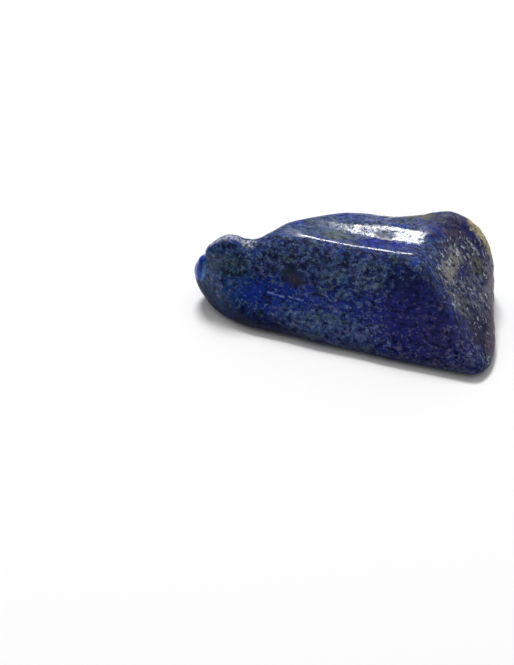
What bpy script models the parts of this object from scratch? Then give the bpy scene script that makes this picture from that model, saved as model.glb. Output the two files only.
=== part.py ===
"""Rough lapis lazuli: one tumbled, wedge-shaped piece lying on a small flat spot.

The piece broke off along a few flat faces, and tumbling then rounded its edges. It is
modelled in the same order: a gridded block is pushed out until it meets the soft-edged
body that those faces enclose, the skin gets its swells, hollows and rough patches, and
the underside is cut flat where the stone rests.

Lengths in the tables are millimetres from the foot of the front face below the narrow
tip: x runs to the blunt end, y to the back and z up. The finished stone is moved so that
the bottom centre of its box is the origin.
"""

import math

import bmesh
import bpy
import numpy as np
from mathutils import Vector, noise

MM = 0.001

# A point well inside the stone, from which its surface is looked for, and about half of
# its length, width and height, which share the grid's rays out evenly.
HEART = np.array((29.0, 10.5, 8.2))
HALF_SIZE = np.array((29.0, 12.0, 9.0))
FARTHEST = 45.0

# Grid cells along the length, the width and the height of the block.
CELLS = (50, 22, 18)

# Each broken face: the azimuth and elevation of its outward normal in degrees, with 0
# towards +X and 90 towards +Y, and a point that it would pass through if it were sharp.
FACES = {
    "front": (-90.6, 30, (30.0, -2.6, 0.0)),
    "top": (-126, 88, (24.0, 18.0, 17.5)),
    "end slope": (-7, 44, (40.8, 10.0, 17.1)),
    "blunt end": (16, 3, (53.5, 10.0, 4.0)),
    "back shoulder": (60, 34, (47.0, 25.0, 14.0)),
    "back": (93, 16, (30.0, 19.3, 16.8)),
    "back of the tip": (123, 20, (14.5, 13.0, 16.8)),
    "rim of the tip": (188, 58, (2.4, 6.7, 14.1)),
    "tip": (184, 12, (-2.2, 8.0, 8.0)),
    "front of the tip": (-145, -4, (-0.5, 0.8, 6.0)),
    "cheek": (-114, 4, (8.0, -0.9, 3.0)),
    "under the tip": (-165, -42, (-0.85, 5.0, 1.65)),
    "front foot": (-91, -45, (30.0, -2.1, 0.6)),
    "foot behind the tip": (123, -35, (6.3, 14.1, 0.65)),
    "end foot": (4, -36, (55.9, 5.0, 0.6)),
    "back foot": (90, -40, (30.0, 22.5, 1.2)),
    "underside": (0, -90, (30.0, 10.0, 0.25)),
}

# How tightly two faces meet, per millimetre: 1.35 rounds a square edge to about 1 mm.
EDGE_TIGHTNESS = 1.35

# Swells and hollows: the centre, the reach along x, y and z, and the height, which is
# negative for a hollow.
LUMPS = {
    "peak over the end": ((41.4, 22.5, 15.5), (5.6, 5.0, 6.0), 2.4),
    "end shoulder": ((47.6, 21.5, 13.5), (4.5, 5.0, 4.0), 1.5),
    "hollow of the end edge": ((52.0, 15.0, 3.5), (3.0, 7.0, 5.0), -0.3),
    "worn end corner": ((54.6, -1.2, 0.6), (2.2, 2.2, 2.2), -0.45),
    "dip in the back edge": ((30.5, 18.5, 16.7), (4.5, 3.0, 3.0), -0.35),
    "valley behind the front edge": ((30.0, 11.0, 17.5), (13.0, 2.4, 3.0), -0.35),
    "crest of the tip": ((2.5, 6.6, 14.0), (3.3, 4.0, 3.6), 1.1),
    "step in the crest": ((7.2, 8.4, 14.4), (1.9, 2.4, 2.4), -0.3),
    "notch in the crest": ((9.3, 10.0, 16.2), (2.8, 4.0, 3.5), -1.6),
    "resting swell": ((28.0, 10.0, 0.0), (12.0, 7.0, 3.0), 0.65),
}

# The small bead of pure blue that stands out at the tip.
NODULE_CENTRE = np.array((-0.55, 6.3, 5.9))
NODULE_RADII = np.array((2.0, 2.0, 2.6))
NODULE_TIGHTNESS = 2.2

# Undulation left everywhere by tumbling, and the coarser skin of the patches that the
# tumbling didn't reach: the size of a swell, its height, and where the patches are.
SWELL_SIZE, SWELL_HEIGHT = 11.0, 0.30
SKIN_SIZE, SKIN_HEIGHT = 3.6, 0.42
ROUGH_PATCHES = {
    "end slope": ((50.0, 12.0, 9.0), (5.5, 11.0, 8.0)),
    "back edge": ((34.0, 21.0, 14.0), (10.0, 4.0, 4.0)),
    "crest": ((6.0, 11.0, 15.5), (6.0, 4.5, 2.5)),
}

# How often the grid settles, how far towards its neighbours each time, and how much more
# strongly a neighbour pulls from round a bend, which draws the grid together at edges.
SETTLING_ROUNDS, SETTLING_SHARE, BEND_PULL = 12, 0.4, 2.5

LAPIS_BLUE = (0.028, 0.055, 0.24, 1.0)
POLISH_ROUGHNESS = 0.22


def outward(azimuth, elevation):
    """The unit normal with this azimuth and elevation in degrees."""
    a, e = math.radians(azimuth), math.radians(elevation)
    return np.array((math.cos(a) * math.cos(e), math.sin(a) * math.cos(e), math.sin(e)))


NORMALS = np.array([outward(a, e) for a, e, point in FACES.values()])
OFFSETS = np.array([outward(a, e) @ np.array(point) for a, e, point in FACES.values()])


def soft_max(values, tightness):
    """The largest of each row's values, blended where two are close."""
    top = values.max(axis=-1)
    spread = np.exp((values - top[..., None]) * tightness).sum(axis=-1)
    return top + np.log(spread) / tightness


def height_over(points):
    """Millimetres outside the stone's surface, for each point; negative inside it."""
    height = soft_max(points @ NORMALS.T - OFFSETS, EDGE_TIGHTNESS)
    for centre, reach, swell in LUMPS.values():
        away = (points - np.array(centre)) / np.array(reach)
        height = height - swell * np.exp(-(away**2).sum(axis=-1))
    away = (points - NODULE_CENTRE) / NODULE_RADII
    bead = (np.sqrt((away**2).sum(axis=-1)) - 1) * NODULE_RADII.min()
    return -soft_max(np.stack((-height, -bead), axis=-1), NODULE_TIGHTNESS)


def slope_at(points, step=0.001):
    """How height_over grows along x, y and z at each point."""
    steps = np.eye(3) * step
    rises = [height_over(points + s) - height_over(points - s) for s in steps]
    return np.stack(rises, axis=-1) / (2 * step)


def onto_surface(points, tries):
    """Moves points that are near the surface along its slope until they lie on it."""
    for _ in range(tries):
        slope = slope_at(points)
        steepness = np.maximum((slope**2).sum(axis=-1), 0.25)
        points = points - slope * (height_over(points) / steepness)[:, None]
    return points


def along_rays(directions):
    """Where rays from the heart leave the stone, found by halving."""
    low, high = np.zeros(len(directions)), np.full(len(directions), FARTHEST)
    for _ in range(30):
        middle = (low + high) / 2
        inside = height_over(HEART + directions * middle[:, None]) < 0
        low, high = np.where(inside, middle, low), np.where(inside, high, middle)
    return HEART + directions * low[:, None]


def gridded_block():
    """A cube from -1 to 1 with CELLS squares along each axis."""
    bm = bmesh.new()
    bmesh.ops.create_cube(bm, size=2.0)
    for axis, cells in enumerate(CELLS):
        along = [e for e in bm.edges if abs(e.verts[0].co[axis] - e.verts[1].co[axis]) > 1]
        bmesh.ops.subdivide_edges(bm, edges=along, cuts=cells - 1, use_grid_fill=True)
    return bm


def positions(bm):
    return np.array([v.co[:] for v in bm.verts])


def place(bm, points):
    for vert, point in zip(bm.verts, points):
        vert.co = Vector(point)
    bm.normal_update()


def settled(points, pairs):
    """Moves each point towards its neighbours, most of all those round a bend."""
    normals = slope_at(points)
    bend = np.linalg.norm(normals[pairs[:, 0]] - normals[pairs[:, 1]], axis=1)
    pull = 1 + BEND_PULL * bend
    total, weight = np.zeros_like(points), np.zeros(len(points))
    for end in (0, 1):
        np.add.at(total, pairs[:, end], points[pairs[:, 1 - end]] * pull[:, None])
        np.add.at(weight, pairs[:, end], pull)
    return points + (total / weight[:, None] - points) * SETTLING_SHARE


def push_out(bm):
    """Turns the block's grid into the stone's surface, finest where the surface bends."""
    bm.verts.index_update()
    pairs = np.array([[v.index for v in edge.verts] for edge in bm.edges])
    rays = np.tan(positions(bm) * math.pi / 4)
    rays = rays / np.linalg.norm(rays, axis=1)[:, None] * HALF_SIZE
    points = along_rays(rays / np.linalg.norm(rays, axis=1)[:, None])
    for _ in range(SETTLING_ROUNDS):
        points = onto_surface(settled(points, pairs), 2)
    place(bm, onto_surface(points, 4))


def roughness_at(point):
    """1 in the middle of a patch that tumbling left rough, falling to 0 on polished skin."""
    shares = []
    for centre, reach in ROUGH_PATCHES.values():
        away = [(p - c) / r for p, c, r in zip(point, centre, reach)]
        shares.append(math.exp(-sum(a * a for a in away)))
    return max(shares)


def weather(bm):
    """Gives the skin its slow swells, and its rough patches their lumps."""
    raised = []
    for vert in bm.verts:
        swell = noise.noise(vert.co / SWELL_SIZE) * SWELL_HEIGHT
        skin = noise.fractal(vert.co / SKIN_SIZE, 0.8, 2.0, 2) * SKIN_HEIGHT
        raised.append(vert.co + vert.normal * (swell + skin * roughness_at(vert.co)))
    place(bm, raised)


def cut_flat(bm):
    """Slices the swell on the underside off at z = 0, where the stone rests."""
    everything = bm.verts[:] + bm.edges[:] + bm.faces[:]
    cut = bmesh.ops.bisect_plane(
        bm,
        geom=everything,
        dist=1e-4,
        plane_co=(0, 0, 0),
        plane_no=(0, 0, -1),
        clear_outer=True,
    )
    rim = [g for g in cut["geom_cut"] if isinstance(g, bmesh.types.BMEdge)]
    bmesh.ops.contextual_create(bm, geom=rim)


def centre_and_scale(bm):
    """Puts the bottom centre of the stone's box on the origin, in metres."""
    points = positions(bm)
    low, high = points.min(axis=0), points.max(axis=0)
    base = np.array(((low[0] + high[0]) / 2, (low[1] + high[1]) / 2, 0.0))
    place(bm, (points - base) * MM)


def polished_lapis():
    material = bpy.data.materials.new("polished_lapis")
    material.use_nodes = True
    shader = material.node_tree.nodes["Principled BSDF"]
    shader.inputs["Base Color"].default_value = LAPIS_BLUE
    shader.inputs["Roughness"].default_value = POLISH_ROUGHNESS
    shader.inputs["Metallic"].default_value = 0.0
    return material


def build_stone():
    bm = gridded_block()
    push_out(bm)
    weather(bm)
    cut_flat(bm)
    centre_and_scale(bm)
    bmesh.ops.recalc_face_normals(bm, faces=bm.faces)
    mesh = bpy.data.meshes.new("lapis_stone")
    bm.to_mesh(mesh)
    bm.free()
    mesh.shade_smooth()
    mesh.materials.append(polished_lapis())
    stone = bpy.data.objects.new("lapis_stone", mesh)
    bpy.context.scene.collection.objects.link(stone)
    return stone


for old in list(bpy.data.objects):
    bpy.data.objects.remove(old)
build_stone()
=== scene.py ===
import math

import bmesh
import bpy
import numpy as np
from mathutils import Euler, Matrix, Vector, noise


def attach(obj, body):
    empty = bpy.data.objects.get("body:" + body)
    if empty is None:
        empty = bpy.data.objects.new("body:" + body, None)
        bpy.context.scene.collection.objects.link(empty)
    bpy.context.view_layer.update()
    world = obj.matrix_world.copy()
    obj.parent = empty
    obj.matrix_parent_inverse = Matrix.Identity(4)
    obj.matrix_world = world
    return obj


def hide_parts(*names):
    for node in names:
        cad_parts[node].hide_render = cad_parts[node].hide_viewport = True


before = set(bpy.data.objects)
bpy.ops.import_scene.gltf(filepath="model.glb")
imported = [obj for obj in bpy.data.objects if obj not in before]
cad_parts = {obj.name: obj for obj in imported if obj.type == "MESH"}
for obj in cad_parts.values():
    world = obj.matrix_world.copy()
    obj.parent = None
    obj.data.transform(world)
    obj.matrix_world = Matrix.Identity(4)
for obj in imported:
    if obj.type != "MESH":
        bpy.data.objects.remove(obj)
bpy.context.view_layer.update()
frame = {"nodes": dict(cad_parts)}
mm = 0.001
print("frame loaded:", ", ".join(frame["nodes"]))


# The stone's skin. Places are in millimetres from under the middle of the stone.

stoneShape = {
    "weld": 1e-7,  # corners nearer than this are one, in metres
    "joinAngles": (0.7, 1.2),  # two triangles that fit within these angles become one face
    "smoothLevels": 2,
    "holdRounds": 3,  # rounding would draw the stone in, so it is pushed back out this often
    "polishSwell": (2.4, 0.030),  # size of a swell and its height, on the polished skin
    "polishGrain": (0.8, 0.008),
    "roughStretch": (0.55, 1.25, 0.8),  # rough skin is drawn out along the stone
    "roughGrain": (0.9, 0.7, 2.1, 4),  # its scale, then the fractal's fall, gap and octaves
    "pitSpacing": 0.95,
    "pitRadius": 0.40,  # as a share of the spacing
    "faintest": {"rough": 0.03, "pitted": 0.1},  # nearness below which a patch leaves no mark
}

# Soft dents and rises: middle, reach along x, y and z, height.
swells = {
    "stepInCrest": ((-19.3, -3.8, 14.8), (0.7, 1.6, 1.2), -0.20),
    "hollowByBead": ((-24.9, -7.4, 8.6), (0.8, 1.2, 2.4), -0.14),
    "notchOverBead": ((-26.5, -5.7, 10.9), (1.3, 1.8, 0.55), -0.34),
    "lobeEdge": ((-25.7, -5.3, 12.4), (1.0, 1.6, 1.2), 0.24),
    "beadTop": ((-27.3, -5.8, 9.9), (0.9, 1.6, 0.8), 0.16),
    "tipFoot": ((-26.6, -6.6, 4.2), (1.8, 2.6, 2.2), 0.20),
    "dipInBackEdge": ((0.4, 5.9, 17.3), (3.2, 1.8, 2.0), -0.34),
    "fallOfLip": ((12.2, 8.3, 18.3), (2.4, 1.8, 1.8), -0.34),
    "bandEdge": ((22.0, 10.9, 13.4), (2.2, 2.2, 3.6), -0.28),
}

# Narrow ridge left where the top meets the front: its line, and its height along that line.
frontRidge = {
    "x": (-8.9, -7.6, -4.9, -2.3, 1.6, 6.4, 9.9, 12.2, 13.3),
    "y": (-2.2, -2.2, -2.4, -2.4, -2.7, -2.7, -2.5, -2.2, -2.1),
    "height": (0.0, 0.05, 0.06, 0.06, 0.06, 0.055, 0.07, 0.085, 0.0),
    "width": 0.5,
    "lowest": 15.5,  # z below which nothing of it is added
}

# The bead at the tip, a smooth dome with a crisp foot.
bead = {
    "middle": (-27.1, -6.2, 8.5),
    "reach": (1.95, 2.4, 2.85),
    "height": 0.34,
}

# The ramp on the top that catches the window. Its front and back edge: x and y of the corners.
topRamp = {
    "front": ((-2.4, -0.1, 3.1, 5.1, 9.9, 13.4, 16.5), (2.2, 1.1, 0.5, 0.3, 0.8, 1.2, 1.2)),
    "back": ((-2.4, 3.9, 8.2, 12.8, 16.5), (3.0, 4.2, 3.8, 3.5, 3.6)),
    "rise": ((-4.0, -0.5, 7.0, 11.0), (0.05, 0.14, 0.13, 0.11)),  # slope that it adds, along x
    "ends": (4.5, 12.5),  # it dies away from this x over this reach
    "fallLength": 3.0,  # from its back edge down to the skin again
    "lowest": 15.5,
    "corner": 0.25,  # softness of its edges
}

# Patches that tumbling left rough: middle, reach, height of their relief.
roughPatches = {
    "endSlope": ((21.5, 1.0, 9.5), (5.5, 10.5, 7.5), 0.17),
    "backEdge": ((8.0, 10.0, 15.5), (12.0, 4.5, 3.5), 0.15),
    "matrixCrust": ((21.8, 10.8, 13.2), (4.5, 2.6, 4.5), 0.12),
    "crest": ((-19.6, -3.6, 14.8), (5.5, 2.4, 1.2), 0.16),
    "undersideSkin": ((0.0, 0.0, 0.0), (26.0, 10.0, 1.2), 0.08),
}

# Patches peppered with small pits: middle, reach, depth.
pittedPatches = {
    "topShine": ((7.5, 1.9, 17.4), (7.5, 1.5, 2.5), 0.08),
    "topDark": ((6.0, 1.4, 17.3), (1.7, 1.0, 2.0), 0.20),
    "matrixCrust": ((22.0, 10.6, 13.2), (3.8, 2.4, 4.8), 0.26),
    "endSlope": ((21.5, 1.5, 10.0), (5.0, 9.0, 6.0), 0.13),
    "pebbles": ((-18.0, -4.2, 14.5), (1.7, 1.3, 1.4), 0.20),
}


def nearness(point, centre, reach):
    away = [(p - c) / r for p, c, r in zip(point, centre, reach)]
    return math.exp(-sum(a * a for a in away))


def corners(mesh):
    flat = np.empty(len(mesh.vertices) * 3)
    mesh.vertices.foreach_get("co", flat)
    return flat.reshape(-1, 3)


def copyOfStone():
    mesh = frame["nodes"]["lapis_stone"].data.copy()
    bm = bmesh.new()
    bm.from_mesh(mesh)
    bmesh.ops.remove_doubles(bm, verts=bm.verts, dist=stoneShape["weld"])
    flat, square = stoneShape["joinAngles"]
    bmesh.ops.join_triangles(
        bm, faces=bm.faces, angle_face_threshold=flat, angle_shape_threshold=square
    )
    bm.to_mesh(mesh)
    bm.free()
    piece = bpy.data.objects.new("lapisStone", mesh)
    bpy.context.scene.collection.objects.link(piece)
    return piece


def roundedMesh(piece):
    piece.data.update()
    bpy.context.view_layer.update()
    seen = piece.evaluated_get(bpy.context.evaluated_depsgraph_get())
    return bpy.data.meshes.new_from_object(seen)


def roundOff(piece):
    rounding = piece.modifiers.new("rounding", "SUBSURF")
    rounding.levels = rounding.render_levels = stoneShape["smoothLevels"]
    goal = corners(piece.data)
    for _ in range(stoneShape["holdRounds"]):
        drawnIn = goal - corners(roundedMesh(piece))[:len(goal)]
        piece.data.vertices.foreach_set("co", (corners(piece.data) + drawnIn).ravel())
    mesh = roundedMesh(piece)
    piece.modifiers.clear()
    piece.data = mesh


def beadRise(point):
    away = [(p - c) / r for p, c, r in zip(point, bead["middle"], bead["reach"])]
    return bead["height"] * math.sqrt(max(0.0, 1.0 - sum(a * a for a in away)))


def ridgeRise(point):
    if point.z < frontRidge["lowest"]:
        return 0.0
    away = point.y - float(np.interp(point.x, frontRidge["x"], frontRidge["y"]))
    height = float(np.interp(point.x, frontRidge["x"], frontRidge["height"]))
    return height * math.exp(-((away / frontRidge["width"]) ** 2))


def softAbove(value, limit):
    # value - limit where that is positive, with a rounded corner
    soft = topRamp["corner"]
    return soft * math.log1p(math.exp(min((value - limit) / soft, 40.0)))


def rampRise(point):
    if point.z < topRamp["lowest"]:
        return 0.0
    front = float(np.interp(point.x, *topRamp["front"]))
    back = float(np.interp(point.x, *topRamp["back"]))
    width = max(back - front, 0.0)
    risen = softAbove(point.y, front) - softAbove(point.y, back)
    length = topRamp["fallLength"]
    fallen = (softAbove(point.y, back) - softAbove(point.y, back + length)) / length
    middle, reach = topRamp["ends"]
    ends = nearness((point.x,), (middle,), (reach,)) ** 0.5
    return float(np.interp(point.x, *topRamp["rise"])) * (risen - width * fallen) * ends


def reliefAt(point):
    size, height = stoneShape["polishSwell"]
    rise = noise.noise(point / size) * height
    size, height = stoneShape["polishGrain"]
    rise += noise.noise(point / size) * height + beadRise(point) + rampRise(point) + ridgeRise(point)
    for centre, reach, height in swells.values():
        rise += height * nearness(point, centre, reach)
    faintest = stoneShape["faintest"]
    scale, *fractal = stoneShape["roughGrain"]
    for centre, reach, height in roughPatches.values():
        near = nearness(point, centre, reach)
        if near > faintest["rough"]:
            stretched = Vector([p * s for p, s in zip(point, stoneShape["roughStretch"])])
            rise += near * height * noise.fractal(stretched * scale, *fractal)
    for centre, reach, depth in pittedPatches.values():
        near = nearness(point, centre, reach)
        if near > faintest["pitted"]:
            away = noise.voronoi(point / stoneShape["pitSpacing"])[0][0]
            rise -= depth * near * max(0.0, 1.0 - away / stoneShape["pitRadius"])
    return rise


def carve(piece):
    bm = bmesh.new()
    bm.from_mesh(piece.data)
    bm.normal_update()
    moved = [vert.co + vert.normal * (reliefAt(vert.co / mm) * mm) for vert in bm.verts]
    for vert, place in zip(bm.verts, moved):
        vert.co = place
        vert.co.z = max(vert.co.z, 0.0)
    bm.to_mesh(piece.data)
    bm.free()
    piece.data.shade_smooth()


stone = copyOfStone()
roundOff(stone)
carve(stone)
print("stone skin:", len(stone.data.polygons), "faces")


# Short names for the shader nodes that the lapis and the light use.


def addNode(tree, kind, **settings):
    node = tree.nodes.new(kind)
    for name, value in settings.items():
        setattr(node, name, value)
    return node


def feed(tree, socket, value):
    if isinstance(value, bpy.types.NodeSocket):
        tree.links.new(value, socket)
    else:
        socket.default_value = value


def calc(tree, operation, first, second):
    node = addNode(tree, "ShaderNodeMath", operation=operation)
    feed(tree, node.inputs[0], first)
    feed(tree, node.inputs[1], second)
    return node.outputs[0]


def vectorCalc(tree, operation, first, second=(0, 0, 0)):
    node = addNode(tree, "ShaderNodeVectorMath", operation=operation)
    feed(tree, node.inputs[0], first)
    feed(tree, node.inputs[1], second)
    return node.outputs["Value" if operation in ("LENGTH", "DOT_PRODUCT") else "Vector"]


def scaled(tree, vector, factor):
    node = addNode(tree, "ShaderNodeVectorMath", operation="SCALE")
    feed(tree, node.inputs[0], vector)
    feed(tree, node.inputs["Scale"], factor)
    return node.outputs["Vector"]


def noiseOn(tree, where, scale, detail, roughness, output="Fac"):
    node = addNode(tree, "ShaderNodeTexNoise")
    feed(tree, node.inputs["Vector"], where)
    feed(tree, node.inputs["Scale"], scale)
    feed(tree, node.inputs["Detail"], detail)
    feed(tree, node.inputs["Roughness"], roughness)
    return node.outputs[output]


def ramp(tree, value, low, high, bottom=0.0, top=1.0):
    node = addNode(tree, "ShaderNodeMapRange", interpolation_type="SMOOTHSTEP")
    names = ("Value", "From Min", "From Max", "To Min", "To Max")
    for name, given in zip(names, (value, low, high, bottom, top)):
        feed(tree, node.inputs[name], given)
    return node.outputs["Result"]


def blend(tree, share, first, second):
    node = addNode(tree, "ShaderNodeMix", data_type="RGBA")
    feed(tree, node.inputs["Factor"], share)
    feed(tree, node.inputs["A"], first)
    feed(tree, node.inputs["B"], second)
    return node.outputs["Result"]


def blob(tree, where, centre, reach, fade=0.5):
    # 1 around the centre, falling to 0 on both sides of the reach
    away = vectorCalc(tree, "DIVIDE", vectorCalc(tree, "SUBTRACT", where, centre), reach)
    return ramp(tree, vectorCalc(tree, "LENGTH", away), 1.0 - fade, 1.0 + fade, 1.0, 0.0)


def hairline(tree, where, start, end, width, core=0.35):
    # 1 along the line from start to end, falling to 0 from the core to its sides
    run = Vector(end) - Vector(start)
    offset = vectorCalc(tree, "SUBTRACT", where, start)
    along = vectorCalc(tree, "DOT_PRODUCT", offset, run / run.length_squared)
    held = calc(tree, "MINIMUM", calc(tree, "MAXIMUM", along, 0.0), 1.0)
    nearest = scaled(tree, tuple(run), held)
    away = vectorCalc(tree, "LENGTH", vectorCalc(tree, "SUBTRACT", offset, nearest))
    return ramp(tree, away, width * core, width, 1.0, 0.0)


def runsMask(tree, where, runs, width):
    mask = 0.0
    for start, end in runs:
        mask = calc(tree, "MAXIMUM", mask, hairline(tree, where, start, end, width))
    return mask


def srgb(red, green, blue):
    parts = [c / 255 for c in (red, green, blue)]
    return (*[c / 12.92 if c <= 0.04045 else ((c + 0.055) / 1.055) ** 2.4 for c in parts], 1.0)


# The lapis. Its grain lies in sheets that lean back, nearly parallel to the front face, so
# flecks are broad on the front and drawn out into streaks on the top and the end slope.

lapis = {
    "sheetTilt": math.radians(29.2),
    "sheets": (0.62, 1.3, 0.78),
    "navy": srgb(5, 16, 78),
    "ultramarine": srgb(22, 54, 144),
    "slate": srgb(48, 68, 84),
    "violet": srgb(24, 24, 112),
    "cloud": srgb(108, 124, 140),
    "greyFleck": srgb(72, 98, 142),
    "oliveFleck": srgb(80, 100, 104),  # these two take turns with the grey ones
    "violetFleck": srgb(84, 88, 146),
    "paleFleck": srgb(114, 134, 166),
    "inkFleck": srgb(6, 12, 46),
    "duskFleck": srgb(94, 88, 124),  # instead of the grey ones, towards the blunt end
    "duskFlecks": ((18.0, -9.0, 6.0), (11.0, 8.0, 8.5), 0.6),
    "driftGrain": (0.45, 4.0, 0.7),  # noise that shakes the edges: scale, detail, roughness
    "edgeDrift": 3.2,  # the edges of the zones wander by up to half of this, in millimetres
    "markDrift": 0.6,  # and those of stain marks, painted shade, pale streaks and painted glints on the bead, and the frosted rim by half of this
    "cloudy": ((-1.0, 2.6, 17.3), (14.0, 5.0, 2.6), 0.6),  # middle, reach, strength
}

# Layers that come and go with a noise: scale, detail and roughness of the noise, a start that
# keeps two layers apart, the values between which the layer changes, and its share at both.
layers = {
    "ultramarine": ((0.8, 4.0, 0.62), (0, 0, 0), (0.41, 0.59), (0.0, 1.0)),
    "slate": ((0.30, 4.0, 0.68), (11.0, 3.0, 40.0), (0.50, 0.60), (0.0, 0.55)),
    "violet": ((0.34, 3.0, 0.6), (2.0, 51.0, 8.0), (0.50, 0.60), (0.0, 0.5)),
    "clouds": ((0.75, 4.0, 0.66), (5.0, 14.0, 3.0), (0.48, 0.57), (0.0, 1.0)),
    "greyFlecks": ((1.55, 4.0, 0.72), (0, 0, 0), (0.49, 0.58), (0.0, 0.80)),
    "oliveFlecks": ((0.5, 4.0, 0.7), (21.0, 6.0, 13.0), (0.50, 0.58), (0.0, 1.0)),
    "violetFlecks": ((0.5, 4.0, 0.7), (21.0, 6.0, 13.0), (0.40, 0.48), (1.0, 0.0)),
    "paleFlecks": ((1.9, 3.0, 0.65), (31.0, 17.0, 5.0), (0.55, 0.66), (0.0, 0.7)),
    "inkFlecks": ((1.3, 4.0, 0.66), (7.0, 43.0, 19.0), (0.49, 0.62), (0.0, 0.85)),
    "slopeGrey": ((0.9, 5.0, 0.75), (0, 0, 0), (0.46, 0.56), (0.0, 1.0)),
    "slopeOlive": ((0.34, 3.0, 0.7), (3.0, 9.0, 27.0), (0.50, 0.60), (0.0, 0.6)),
    "slopeInk": ((1.2, 4.0, 0.72), (5.0, 31.0, 11.0), (0.50, 0.57), (0.0, 0.95)),
    "slopeChalk": ((1.4, 4.0, 0.72), (13.0, 5.0, 2.0), (0.55, 0.64), (0.0, 0.85)),
    "slopeDusk": ((0.8, 4.0, 0.7), (0, 0, 0), (0.40, 0.56), (0.85, 0.45)),
    "crustSlate": ((0.7, 4.0, 0.7), (4.0, 7.0, 21.0), (0.47, 0.66), (0.0, 1.0)),
    "crustPores": ((1.7, 4.0, 0.7), (0, 0, 0), (0.53, 0.64), (0.0, 0.9)),
    "frost": ((2.2, 4.0, 0.75), (0, 0, 0), (0.38, 0.58), (0.0, 0.9)),
    "beadStreaks": ((1.1, 3.0, 0.6), (0, 0, 0), (0.40, 0.60), (0.4, 0.85)),
    "scratches": ((0.9, 2.0, 0.5), (0, 0, 0), (0.40, 0.52), (0.25, 0.8)),
}

# Where the blue changes: colour, strength, middle, reach, softness of the edge.
tints = {
    "tealTip": (srgb(16, 60, 112), 0.8, (-23.0, -7.5, 8.0), (8.0, 6.0, 6.5), 0.6),
    "oliveTip": (srgb(40, 60, 68), 0.6, (-20.5, -7.2, 11.0), (5.5, 3.0, 2.2), 0.6),
    "upperDusk": (srgb(32, 48, 78), 0.7, (-3.0, -6.0, 13.0), (12.0, 4.0, 3.2), 0.6),
    "brightStreak": (srgb(14, 46, 142), 0.85, (-12.5, -9.0, 7.2), (6.5, 3.0, 2.3), 0.6),
    "midBlue": (srgb(34, 50, 146), 0.55, (3.0, -9.5, 8.0), (9.0, 4.0, 3.2), 0.6),
    "greyFoot": (srgb(58, 76, 128), 0.6, (-1.0, -11.2, 4.4), (10.0, 3.0, 2.4), 0.6),
    "darkUnderEdge": (srgb(16, 26, 70), 0.7, (12.0, -5.0, 13.0), (5.0, 3.5, 2.8), 0.6),
    "violetEnd": (srgb(36, 36, 104), 0.8, (15.0, -9.5, 7.0), (8.5, 6.0, 6.0), 0.6),
    "violetFoot": (srgb(44, 46, 96), 0.7, (22.5, -10.5, 4.0), (7.0, 4.5, 4.5), 0.5),
    "topTeal": (srgb(52, 82, 108), 0.6, (-6.5, 0.2, 16.9), (5.5, 2.4, 1.6), 0.6),
    "topOlive": (srgb(92, 98, 76), 0.75, (-2.3, -0.6, 16.8), (2.6, 1.3, 1.4), 0.5),
    "topOliveLeft": (srgb(80, 92, 86), 0.6, (-7.4, 1.6, 17.0), (1.8, 1.2, 1.2), 0.5),
    "topBlueLeft": (srgb(14, 40, 140), 0.7, (-10.2, 0.5, 17.0), (1.9, 1.4, 1.4), 0.5),
    "topBlueBack": (srgb(18, 44, 146), 0.8, (-1.6, 4.9, 17.2), (2.6, 1.4, 1.2), 0.5),
    "topBlueMiddle": (srgb(12, 34, 146), 0.9, (4.3, -1.2, 17.1), (2.0, 1.1, 1.2), 0.5),
    "topBlueRight": (srgb(12, 34, 146), 0.9, (8.6, -0.7, 17.3), (1.2, 1.0, 1.2), 0.5),
    "topDark": (srgb(52, 60, 66), 0.8, (6.0, 1.4, 17.3), (1.8, 1.1, 1.2), 0.5),
    "shoulderBlue": (srgb(8, 22, 112), 0.95, (14.6, 4.2, 17.5), (1.5, 2.3, 1.6), 0.5),
    "cornerTeal": (srgb(56, 78, 100), 0.5, (15.2, 0.6, 16.8), (1.8, 2.6, 1.8), 0.6),
    "peak": (srgb(16, 14, 64), 0.85, (14.8, 7.3, 18.5), (2.8, 1.9, 1.6), 0.5),
    "backSlate": (srgb(44, 60, 88), 0.7, (2.0, 11.5, 9.0), (8.0, 4.0, 4.0), 0.7),
    "backNavy": (srgb(10, 18, 88), 0.7, (-9.0, 9.5, 6.0), (7.0, 5.0, 5.0), 0.7),
}

# Stain marks that lie over the flecks, in the same order; three of them, at the foot and under the
# tip, are painted shade.
stainsAndShade = {
    "oliveLip": (srgb(104, 98, 74), 0.65, (9.8, 8.1, 18.1), (3.4, 1.1, 1.1), 0.45),
    "brownSpot": (srgb(58, 50, 44), 0.65, (-8.2, -7.6, 10.4), (1.5, 1.4, 0.9), 0.9),
    "brownSpotUp": (srgb(38, 46, 48), 0.5, (-9.4, -6.9, 11.4), (1.8, 1.4, 1.0), 0.9),
    "brownFoot": (srgb(42, 34, 36), 0.5, (-10.5, -11.7, 1.8), (6.5, 2.5, 1.8), 0.7),
    # painted shade: darker where the foot under the tip turns under
    "shadedFoot": (srgb(5, 9, 26), 0.6, (-19.0, -10.5, 1.2), (9.5, 5.5, 2.8), 0.6),
    # painted shade on the underside of the tip
    "shadedTipUnderside": (srgb(5, 18, 58), 0.7, (-26.2, -8.0, 3.0), (3.6, 3.5, 3.0), 0.6),
    # painted shade along the foot of the front
    "footShade": (srgb(14, 14, 36), 0.6, (6.0, -12.4, 0.8), (32.0, 3.5, 1.9), 0.6),
    "tipBead": (srgb(14, 66, 164), 0.86, (-27.1, -6.2, 8.5), (2.0, 2.5, 2.9), 0.16),
    "beadCore": (srgb(6, 26, 112), 0.8, (-26.6, -7.0, 9.2), (0.8, 1.1, 1.3), 0.5),
}

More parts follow.
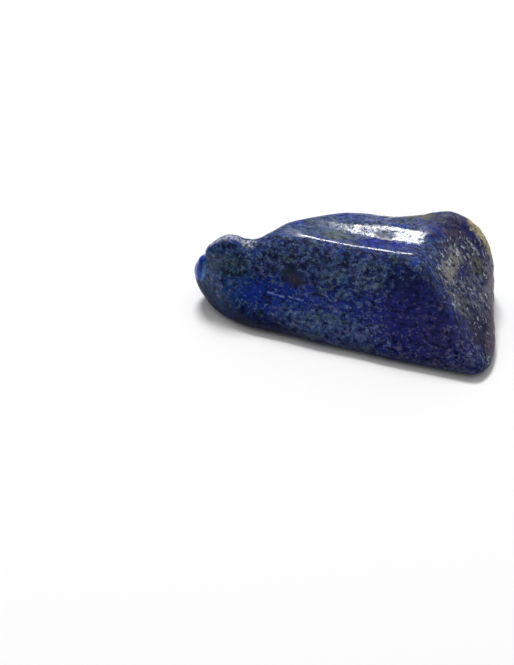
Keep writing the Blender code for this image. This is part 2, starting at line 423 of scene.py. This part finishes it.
# How thick the grey flecks lie: middle, reach, and how much more or less than elsewhere.
fleckPatches = {
    "upperFront": ((-3.0, -5.5, 13.5), (14.0, 4.0, 3.5), 0.03),
    "lowerFront": ((-1.0, -11.0, 4.6), (12.0, 3.0, 3.0), 0.04),
    "topBlues": ((6.0, -1.0, 17.2), (6.0, 1.2, 1.2), -0.08),
    "brightStreak": ((-12.5, -9.0, 7.2), (6.5, 3.5, 2.4), -0.06),
    "violetEnd": ((15.0, -9.0, 8.0), (8.0, 6.0, 6.0), -0.05),
    "darkUnderEdge": ((13.0, -5.5, 13.0), (4.5, 4.0, 3.0), -0.05),
    "shoulder": ((13.9, 4.0, 17.5), (1.6, 1.9, 1.6), -0.08),
    "peak": ((14.6, 7.0, 18.4), (3.0, 2.2, 1.6), -0.06),
    "brownSpot": ((-8.6, -7.3, 10.8), (2.4, 1.8, 1.6), -0.10),
    # fewer flecks where the painted shade at the foot lies
    "shadedFoot": ((-17.0, -10.5, 1.6), (9.0, 5.0, 2.6), -0.08),
}

# The end slope, which broke across the sheets and stayed rough. It lies beyond a plane that
# leans like the edge between the front and the slope.
endSlope = {
    "across": (0.67, 0.72, 0.18),
    "edge": (11.2, 12.6),  # millimetres along that direction
    "start": (15.2, 16.8),  # and along x
    "crumbGrain": (1.0, 5.0, 0.75),
    "crumble": 8.5,  # flecks of it spill over that edge by up to half of this, in millimetres
    "back": (7.5, 11.0),  # y from which its start wanders, and y where it wanders most
    "backGrain": (0.22, 4.0, 0.65),
    "backDrift": 22.0,  # by up to half of this
    "stretch": (0.74, 1.45, 0.74),
    "cover": 0.95,  # share of the blue that it hides
    "navy": srgb(24, 26, 86),
    "ink": srgb(5, 8, 44),
    "grey": srgb(100, 106, 124),
    "chalk": srgb(196, 200, 210),
    "olive": srgb(88, 90, 74),
    "tints": {
        "mauveTop": (srgb(70, 56, 88), 0.85, (16.8, 6.6, 17.2), (2.4, 3.6, 2.4), 0.6),
        "darkUnderTop": (srgb(20, 22, 74), 0.6, (15.9, 1.4, 16.4), (1.2, 2.4, 1.6), 0.5),
        "beigeStreak": (srgb(146, 142, 124), 0.6, (18.6, 0.9, 13.4), (1.5, 3.4, 2.6), 0.6),
        "navyVein": (srgb(18, 24, 96), 0.85, (20.2, 1.4, 12.1), (0.8, 2.6, 2.6), 0.4),
        "olivePatch": (srgb(84, 88, 68), 0.75, (22.2, 5.8, 11.3), (1.6, 2.0, 2.6), 0.5),
        "navyStripTop": (srgb(10, 18, 96), 1.0, (19.6, 8.2, 16.0), (1.6, 0.9, 2.0), 0.4),
        "navyStripLow": (srgb(10, 18, 96), 1.0, (22.2, 8.0, 12.8), (1.6, 1.0, 2.8), 0.4),
        # painted shade: the end slope darker towards its foot
        "shadedLowSlope": (srgb(8, 12, 52), 0.9, (25.4, -5.4, 5.2), (3.6, 4.5, 4.0), 0.6),
    },
    "dusky": srgb(96, 78, 92),
    "duskyRuns": (((24.6, 7.6, 8.2), (26.0, 2.5, 5.0)), ((26.0, 2.5, 5.0), (28.2, -6.0, 2.6))),
    "duskyWidth": 2.3,
    "chalkPatches": {  # middle, reach, how much thicker the chalky flecks lie
        "byTheEdge": ((18.0, 1.2, 14.3), (2.4, 4.0, 3.2), 0.04),
        "low": ((23.6, 3.0, 8.6), (6.0, 8.0, 6.0), -0.02),
        "lowest": ((25.4, -5.4, 5.2), (4.5, 5.0, 4.5), -0.035),
        "high": ((17.2, 7.6, 17.0), (2.6, 3.6, 2.2), -0.05),
    },
    "chalkDriftStart": (8.0, 2.0, 6.0),
    "chalkDriftGrain": (0.42, 3.0, 0.6),
    "chalkDriftMiddle": 0.52,  # above this value of the noise the chalky flecks lie thicker
    "chalkDrift": 0.35,
}

# Pale crust of the parent rock, in a ragged band along the back edge of the blunt end.
crust = {
    "sand": srgb(176, 164, 128),
    "umber": srgb(76, 66, 54),
    "slate": srgb(96, 98, 100),
    "runs": (((20.3, 11.2, 15.8), (21.5, 11.3, 14.3)), ((21.5, 11.3, 14.3), (22.9, 11.3, 12.1))),
    "width": 3.3,
    "raggedness": 2.4,  # its edge wanders by up to half of this, in millimetres
    "crumbGrain": (1.1, 4.0, 0.7),
    "crumble": 1.6,  # how much that noise breaks up the edge
    "edge": (0.35, 0.60),
    "cover": 0.95,
}

# Frosted rim along the crest of the tip, as runs, and the pebbly patch beside it.
frost = {
    "colour": srgb(186, 190, 204),
    "runs": (
        ((-26.0, -5.5, 11.6), (-24.4, -5.1, 13.7)),
        ((-24.4, -5.1, 13.7), (-21.6, -4.6, 15.0)),
        ((-21.6, -4.6, 15.0), (-19.7, -4.2, 14.9)),
    ),
    "width": 0.85,
    "pebbles": ((-18.0, -4.2, 14.3), (1.4, 1.1, 1.0), 0.3),  # middle, reach, softness
    "pebbleGaps": srgb(44, 52, 78),
    "pebbleScale": 1.7,
    "pebbleEdge": (0.36, 0.62, 0.9, 0.0),  # distances from a pebble's middle, whiteness at both
    "pebbleCover": 0.85,
}

# Paler streaks on the bead: colour, width, runs. byTheStone is the stone's own pale streak, outside
# a painted reflection and top a painted highlight.
beadVeinsAndGlints = {
    "byTheStone": (srgb(96, 150, 196), 0.5, (
        ((-25.8, -7.0, 9.9), (-25.8, -7.6, 8.0)),
        ((-25.8, -7.6, 8.0), (-26.4, -7.7, 6.2)),
    )),
    # painted reflection down the outer side of the bead
    "outside": (srgb(118, 142, 222), 0.85, (((-27.9, -6.5, 8.0), (-27.8, -7.2, 6.5)),)),
    # painted highlight on the top of the bead
    "top": (srgb(150, 168, 232), 0.75, (((-27.6, -5.9, 9.4), (-27.3, -6.3, 9.4)),)),
}

scratches = {
    "colour": srgb(132, 150, 206),
    "width": 0.26,
    "runs": (((-12.9, -8.9, 7.6), (-9.8, -9.1, 7.4)), ((-8.8, -9.05, 7.6), (-6.1, -9.2, 7.7))),
}

# Roughness: two layers like those above, and what the zones and patches add to them.
polish = {
    "haze": ((1.2, 4.0, 0.7), (0, 0, 0), (0.42, 0.62), (0.08, 0.17)),
    "dullSpots": ((1.9, 4.0, 0.72), (0, 0, 0), (0.57, 0.61), (0.0, 0.45)),
    "mattZones": {"slope": 0.30, "crust": 0.45, "frost": 0.35},
    "mattPatches": {  # middle, reach, roughness added
        "flank": ((13.8, 6.4, 18.2), (2.8, 2.8, 1.8), 0.5),
        "ridgeEnd": ((-11.6, -2.4, 16.7), (2.8, 1.6, 1.6), 0.40),
        "topDark": ((6.0, 1.4, 17.3), (1.8, 1.0, 1.2), 0.35),
    },
    "refraction": 1.5,
    "footGloss": (2.5, 8.5, 0.10, 0.36),  # from z to z the gloss grows from this to that
    "tipGloss": (-28.5, -21.0, 0.30, 1.0),  # and along x it is brought down to this share
    "grain": (3.0, 3.0, 0.6),  # fine bumps: noise, height in millimetres, strength
    "grainHeight": 0.05,
    "grainStrength": 0.3,
}


def tinted(tree, wandering, colour, patches):
    for tint, strength, centre, reach, fade in patches.values():
        share = calc(tree, "MULTIPLY", blob(tree, wandering, centre, reach, fade), strength)
        colour = blend(tree, share, colour, tint)
    return colour


def layerShare(tree, where, layer, thicker=0.0):
    # how much of a layer shows, more of it where thicker is above zero
    grain, start, between, shares = layer
    value = noiseOn(tree, vectorCalc(tree, "ADD", where, start), *grain)
    return ramp(tree, calc(tree, "ADD", value, thicker), *between, *shares)


def shake(tree, where, grain, reach, middle=0.5):
    # noise about zero, times the reach
    offset = calc(tree, "SUBTRACT", noiseOn(tree, where, *grain), middle)
    return calc(tree, "MULTIPLY", offset, reach)


def groundBlue(tree, where, wandering, sheeted):
    blues = layerShare(tree, sheeted, layers["ultramarine"])
    colour = blend(tree, blues, lapis["navy"], lapis["ultramarine"])
    colour = blend(tree, layerShare(tree, where, layers["slate"]), colour, lapis["slate"])
    colour = blend(tree, layerShare(tree, where, layers["violet"]), colour, lapis["violet"])
    middle, reach, strength = lapis["cloudy"]
    clouds = layerShare(tree, where, layers["clouds"])
    clouds = calc(tree, "MULTIPLY", clouds, blob(tree, where, middle, reach))
    colour = blend(tree, calc(tree, "MULTIPLY", clouds, strength), colour, lapis["cloud"])
    return tinted(tree, wandering, colour, tints)


def withFlecks(tree, wandering, sheeted, colour):
    thicker = 0.0
    for centre, reach, extra in fleckPatches.values():
        share = calc(tree, "MULTIPLY", blob(tree, wandering, centre, reach), extra)
        thicker = calc(tree, "ADD", thicker, share)
    olive = layerShare(tree, sheeted, layers["oliveFlecks"])
    fleck = blend(tree, olive, lapis["greyFleck"], lapis["oliveFleck"])
    violet = layerShare(tree, sheeted, layers["violetFlecks"])
    fleck = blend(tree, violet, fleck, lapis["violetFleck"])
    fleck = blend(tree, blob(tree, wandering, *lapis["duskFlecks"]), fleck, lapis["duskFleck"])
    grey = layerShare(tree, sheeted, layers["greyFlecks"], thicker)
    colour = blend(tree, grey, colour, fleck)
    pale = layerShare(tree, sheeted, layers["paleFlecks"], thicker)
    colour = blend(tree, pale, colour, lapis["paleFleck"])
    return blend(tree, layerShare(tree, sheeted, layers["inkFlecks"]), colour, lapis["inkFleck"])


def leaned(tree, where):
    # the same place, turned so that y runs straight across the sheets of the grain
    node = addNode(tree, "ShaderNodeVectorRotate", rotation_type="X_AXIS")
    feed(tree, node.inputs["Vector"], where)
    node.inputs["Angle"].default_value = lapis["sheetTilt"]
    return node.outputs["Vector"]


def slopeShare(tree, where, wandering):
    # 1 beyond the slope's plane and beyond its start along x, with crumbs over both edges
    crumbs = shake(tree, where, endSlope["crumbGrain"], endSlope["crumble"])
    along = vectorCalc(tree, "DOT_PRODUCT", wandering, endSlope["across"])
    along = calc(tree, "ADD", along, crumbs)
    parts = addNode(tree, "ShaderNodeSeparateXYZ")
    feed(tree, parts.inputs[0], wandering)
    onBack = ramp(tree, parts.outputs["Y"], *endSlope["back"], 0.0, endSlope["backDrift"])
    begun = calc(tree, "ADD", parts.outputs["X"], shake(tree, where, endSlope["backGrain"], onBack))
    begun = ramp(tree, calc(tree, "ADD", begun, crumbs), *endSlope["start"])
    return calc(tree, "MULTIPLY", ramp(tree, along, *endSlope["edge"]), begun)


def chalkThickness(tree, where):
    moved = vectorCalc(tree, "ADD", where, endSlope["chalkDriftStart"])
    middle = endSlope["chalkDriftMiddle"]
    thicker = shake(tree, moved, endSlope["chalkDriftGrain"], endSlope["chalkDrift"], middle)
    for centre, reach, more in endSlope["chalkPatches"].values():
        share = calc(tree, "MULTIPLY", blob(tree, where, centre, reach), more)
        thicker = calc(tree, "ADD", thicker, share)
    return thicker


def withSlope(tree, where, wandering, mask, colour):
    stretched = vectorCalc(tree, "MULTIPLY", leaned(tree, where), endSlope["stretch"])
    grey = layerShare(tree, stretched, layers["slopeGrey"])
    broken = blend(tree, grey, endSlope["navy"], endSlope["grey"])
    broken = blend(tree, layerShare(tree, where, layers["slopeOlive"]), broken, endSlope["olive"])
    broken = tinted(tree, wandering, broken, endSlope["tints"])
    broken = blend(tree, layerShare(tree, stretched, layers["slopeInk"]), broken, endSlope["ink"])
    chalk = layerShare(tree, stretched, layers["slopeChalk"], chalkThickness(tree, where))
    broken = blend(tree, chalk, broken, endSlope["chalk"])
    strip = runsMask(tree, wandering, endSlope["duskyRuns"], endSlope["duskyWidth"])
    strip = calc(tree, "MULTIPLY", strip, layerShare(tree, stretched, layers["slopeDusk"]))
    broken = blend(tree, strip, broken, endSlope["dusky"])
    return blend(tree, calc(tree, "MULTIPLY", mask, endSlope["cover"]), colour, broken)


def crustShare(tree, where, ragged):
    band = runsMask(tree, ragged, crust["runs"], crust["width"])
    crumbs = shake(tree, where, crust["crumbGrain"], crust["crumble"])
    return ramp(tree, calc(tree, "ADD", band, crumbs), *crust["edge"])


def withCrust(tree, where, mask, colour):
    slate = layerShare(tree, where, layers["crustSlate"])
    paste = blend(tree, slate, crust["sand"], crust["slate"])
    paste = blend(tree, layerShare(tree, where, layers["crustPores"]), paste, crust["umber"])
    return blend(tree, calc(tree, "MULTIPLY", mask, crust["cover"]), colour, paste)


def withFrost(tree, where, rim, pebbles, colour):
    crumbs = calc(tree, "MULTIPLY", rim, layerShare(tree, where, layers["frost"]))
    colour = blend(tree, crumbs, colour, frost["colour"])
    cells = addNode(tree, "ShaderNodeTexVoronoi")
    feed(tree, cells.inputs["Vector"], where)
    cells.inputs["Scale"].default_value = frost["pebbleScale"]
    grain = ramp(tree, cells.outputs["Distance"], *frost["pebbleEdge"])
    pebbly = blend(tree, grain, frost["pebbleGaps"], frost["colour"])
    return blend(tree, calc(tree, "MULTIPLY", pebbles, frost["pebbleCover"]), colour, pebbly)


# pale streaks on the bead, among them a painted reflection and a painted highlight
def withVeinsAndGlints(tree, where, shaken, colour):
    patchy = layerShare(tree, where, layers["beadStreaks"])
    for paler, width, runs in beadVeinsAndGlints.values():
        streak = calc(tree, "MULTIPLY", runsMask(tree, shaken, runs, width), patchy)
        colour = blend(tree, streak, colour, paler)
    return colour


def withScratches(tree, where, shaken, colour):
    lines = runsMask(tree, shaken, scratches["runs"], scratches["width"])
    lines = calc(tree, "MULTIPLY", lines, layerShare(tree, where, layers["scratches"]))
    return blend(tree, lines, colour, scratches["colour"])


def roughnessOf(tree, where, sheeted, zones):
    haze = layerShare(tree, where, polish["haze"])
    rough = calc(tree, "ADD", haze, layerShare(tree, sheeted, polish["dullSpots"]))
    for name, added in polish["mattZones"].items():
        rough = calc(tree, "ADD", rough, calc(tree, "MULTIPLY", zones[name], added))
    for middle, reach, added in polish["mattPatches"].values():
        share = calc(tree, "MULTIPLY", blob(tree, where, middle, reach), added)
        rough = calc(tree, "ADD", rough, share)
    return calc(tree, "MINIMUM", rough, 1.0)


def glossOf(tree, where):
    parts = addNode(tree, "ShaderNodeSeparateXYZ")
    feed(tree, parts.inputs[0], where)
    gloss = ramp(tree, parts.outputs["Z"], *polish["footGloss"])
    return calc(tree, "MULTIPLY", gloss, ramp(tree, parts.outputs["X"], *polish["tipGloss"]))


def fineGrain(tree, where):
    grain = addNode(tree, "ShaderNodeBump")
    grain.inputs["Strength"].default_value = polish["grainStrength"]
    grain.inputs["Distance"].default_value = polish["grainHeight"] * mm
    feed(tree, grain.inputs["Height"], noiseOn(tree, where, *polish["grain"]))
    return grain.outputs["Normal"]


def lapisMaterial():
    material = bpy.data.materials.new("polishedLapis")
    material.use_nodes = True
    tree = material.node_tree
    shader = tree.nodes["Principled BSDF"]
    where = scaled(tree, addNode(tree, "ShaderNodeTexCoord").outputs["Object"], 1 / mm)

    # the same place, shaken more or less, so that the edges of zones, crust, stain marks and painted
    # shade wander
    drift = noiseOn(tree, where, *lapis["driftGrain"], "Color")
    drift = vectorCalc(tree, "SUBTRACT", drift, (0.5, 0.5, 0.5))
    wandering = vectorCalc(tree, "ADD", where, scaled(tree, drift, lapis["edgeDrift"]))
    ragged = vectorCalc(tree, "ADD", where, scaled(tree, drift, crust["raggedness"]))
    shaken = vectorCalc(tree, "ADD", where, scaled(tree, drift, lapis["markDrift"]))
    sheeted = vectorCalc(tree, "MULTIPLY", leaned(tree, where), lapis["sheets"])

    rim = runsMask(tree, shaken, frost["runs"], frost["width"])
    pebbles = blob(tree, where, *frost["pebbles"])
    zones = {
        "slope": slopeShare(tree, where, wandering),
        "crust": crustShare(tree, where, ragged),
        "frost": calc(tree, "MAXIMUM", rim, pebbles),
    }

    colour = groundBlue(tree, where, wandering, sheeted)
    colour = withFlecks(tree, wandering, sheeted, colour)
    # stain marks, and the painted shade under the tip and along the foot
    colour = tinted(tree, shaken, colour, stainsAndShade)
    colour = withSlope(tree, where, wandering, zones["slope"], colour)
    colour = withCrust(tree, where, zones["crust"], colour)
    colour = withFrost(tree, where, rim, pebbles, colour)
    # pale streaks on the bead, and its painted reflection and painted highlight
    colour = withVeinsAndGlints(tree, where, shaken, colour)
    colour = withScratches(tree, where, shaken, colour)

    feed(tree, shader.inputs["Base Color"], colour)
    feed(tree, shader.inputs["Roughness"], roughnessOf(tree, where, sheeted, zones))
    feed(tree, shader.inputs["Specular IOR Level"], glossOf(tree, where))
    feed(tree, shader.inputs["Normal"], fineGrain(tree, where))
    shader.inputs["IOR"].default_value = polish["refraction"]
    return material


stone.data.materials.clear()
stone.data.materials.append(lapisMaterial())
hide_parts("lapis_stone")
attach(stone, "root")
print("lapis material ready")


# Table, light and camera.

studio = {
    "floorSide": 8.0,
    "floorColour": (0.92, 0.92, 0.92, 1.0),
    "floorRoughness": 0.9,
    "floorGloss": 0.1,
    "airAbove": 0.56,  # soft light from above and behind
    "airInFront": 0.10,
    "airAxis": (0.0, 0.45, 0.89),
    "airFade": (-0.15, 0.75),  # where along that axis the light in front gives way to it
    "windowDirection": (-0.219, 0.439, 0.871),
    "windowDistance": 1.0,
    "windowSize": (0.30, 0.22),
    "windowPower": 7.8,
}


def floorPlane():
    half = studio["floorSide"] / 2
    mesh = bpy.data.meshes.new("tableTop")
    edge = [(-half, -half, 0), (half, -half, 0), (half, half, 0), (-half, half, 0)]
    mesh.from_pydata(edge, [], [(0, 1, 2, 3)])
    floor = bpy.data.objects.new("tableTop", mesh)
    bpy.context.scene.collection.objects.link(floor)
    material = bpy.data.materials.new("whitePaper")
    material.use_nodes = True
    shader = material.node_tree.nodes["Principled BSDF"]
    shader.inputs["Base Color"].default_value = studio["floorColour"]
    shader.inputs["Roughness"].default_value = studio["floorRoughness"]
    shader.inputs["Specular IOR Level"].default_value = studio["floorGloss"]
    mesh.materials.append(material)


def window():
    light = bpy.data.lights.new("window", "AREA")
    light.shape = "RECTANGLE"
    light.size, light.size_y = studio["windowSize"]
    light.energy = studio["windowPower"]
    lamp = bpy.data.objects.new("window", light)
    away = Vector(studio["windowDirection"]).normalized()
    lamp.location = away * studio["windowDistance"]
    lamp.rotation_euler = away.to_track_quat("Z", "Y").to_euler()
    bpy.context.scene.collection.objects.link(lamp)


def studioAir():
    world = bpy.data.worlds.new("studioAir")
    world.use_nodes = True
    tree = world.node_tree
    direction = addNode(tree, "ShaderNodeTexCoord").outputs["Generated"]
    height = vectorCalc(tree, "DOT_PRODUCT", direction, Vector(studio["airAxis"]).normalized())
    light = ramp(tree, height, *studio["airFade"], studio["airInFront"], studio["airAbove"])
    feed(tree, tree.nodes["Background"].inputs["Strength"], light)
    tree.nodes["Background"].inputs["Color"].default_value = (1, 1, 1, 1)
    bpy.context.scene.world = world


floorPlane()
window()
studioAir()
bpy.context.scene.view_settings.view_transform = "Standard"

view = {
    "place": (70.28, -220.35, 201.04),
    "target": (3.09, -0.57, 8.2),
    "lens": 89.32,
    "sensor": 36,
    "imageHeight": 665,  # pixels along the sensor
    "offset": (109.2, 54.5),  # pixels that the target lies right of and above the middle
    "nearest": 0.01,
}


def addCamera():
    data = bpy.data.cameras.new("camera")
    data.lens = view["lens"]
    data.sensor_width = view["sensor"]
    data.clip_start = view["nearest"]
    camera = bpy.data.objects.new("camera", data)
    camera.location = Vector(view["place"]) * mm
    straight = (Vector(view["target"]) * mm - camera.location).to_track_quat("-Z", "Y")
    focal = view["lens"] * (view["imageHeight"] / view["sensor"])  # in pixels
    across, up = (math.atan(pixels / focal) for pixels in view["offset"])
    camera.rotation_mode = "QUATERNION"
    camera.rotation_quaternion = straight @ Euler((-up, across, 0)).to_quaternion()
    bpy.context.scene.collection.objects.link(camera)
    bpy.context.scene.camera = camera


addCamera()
print("table, light and camera ready")
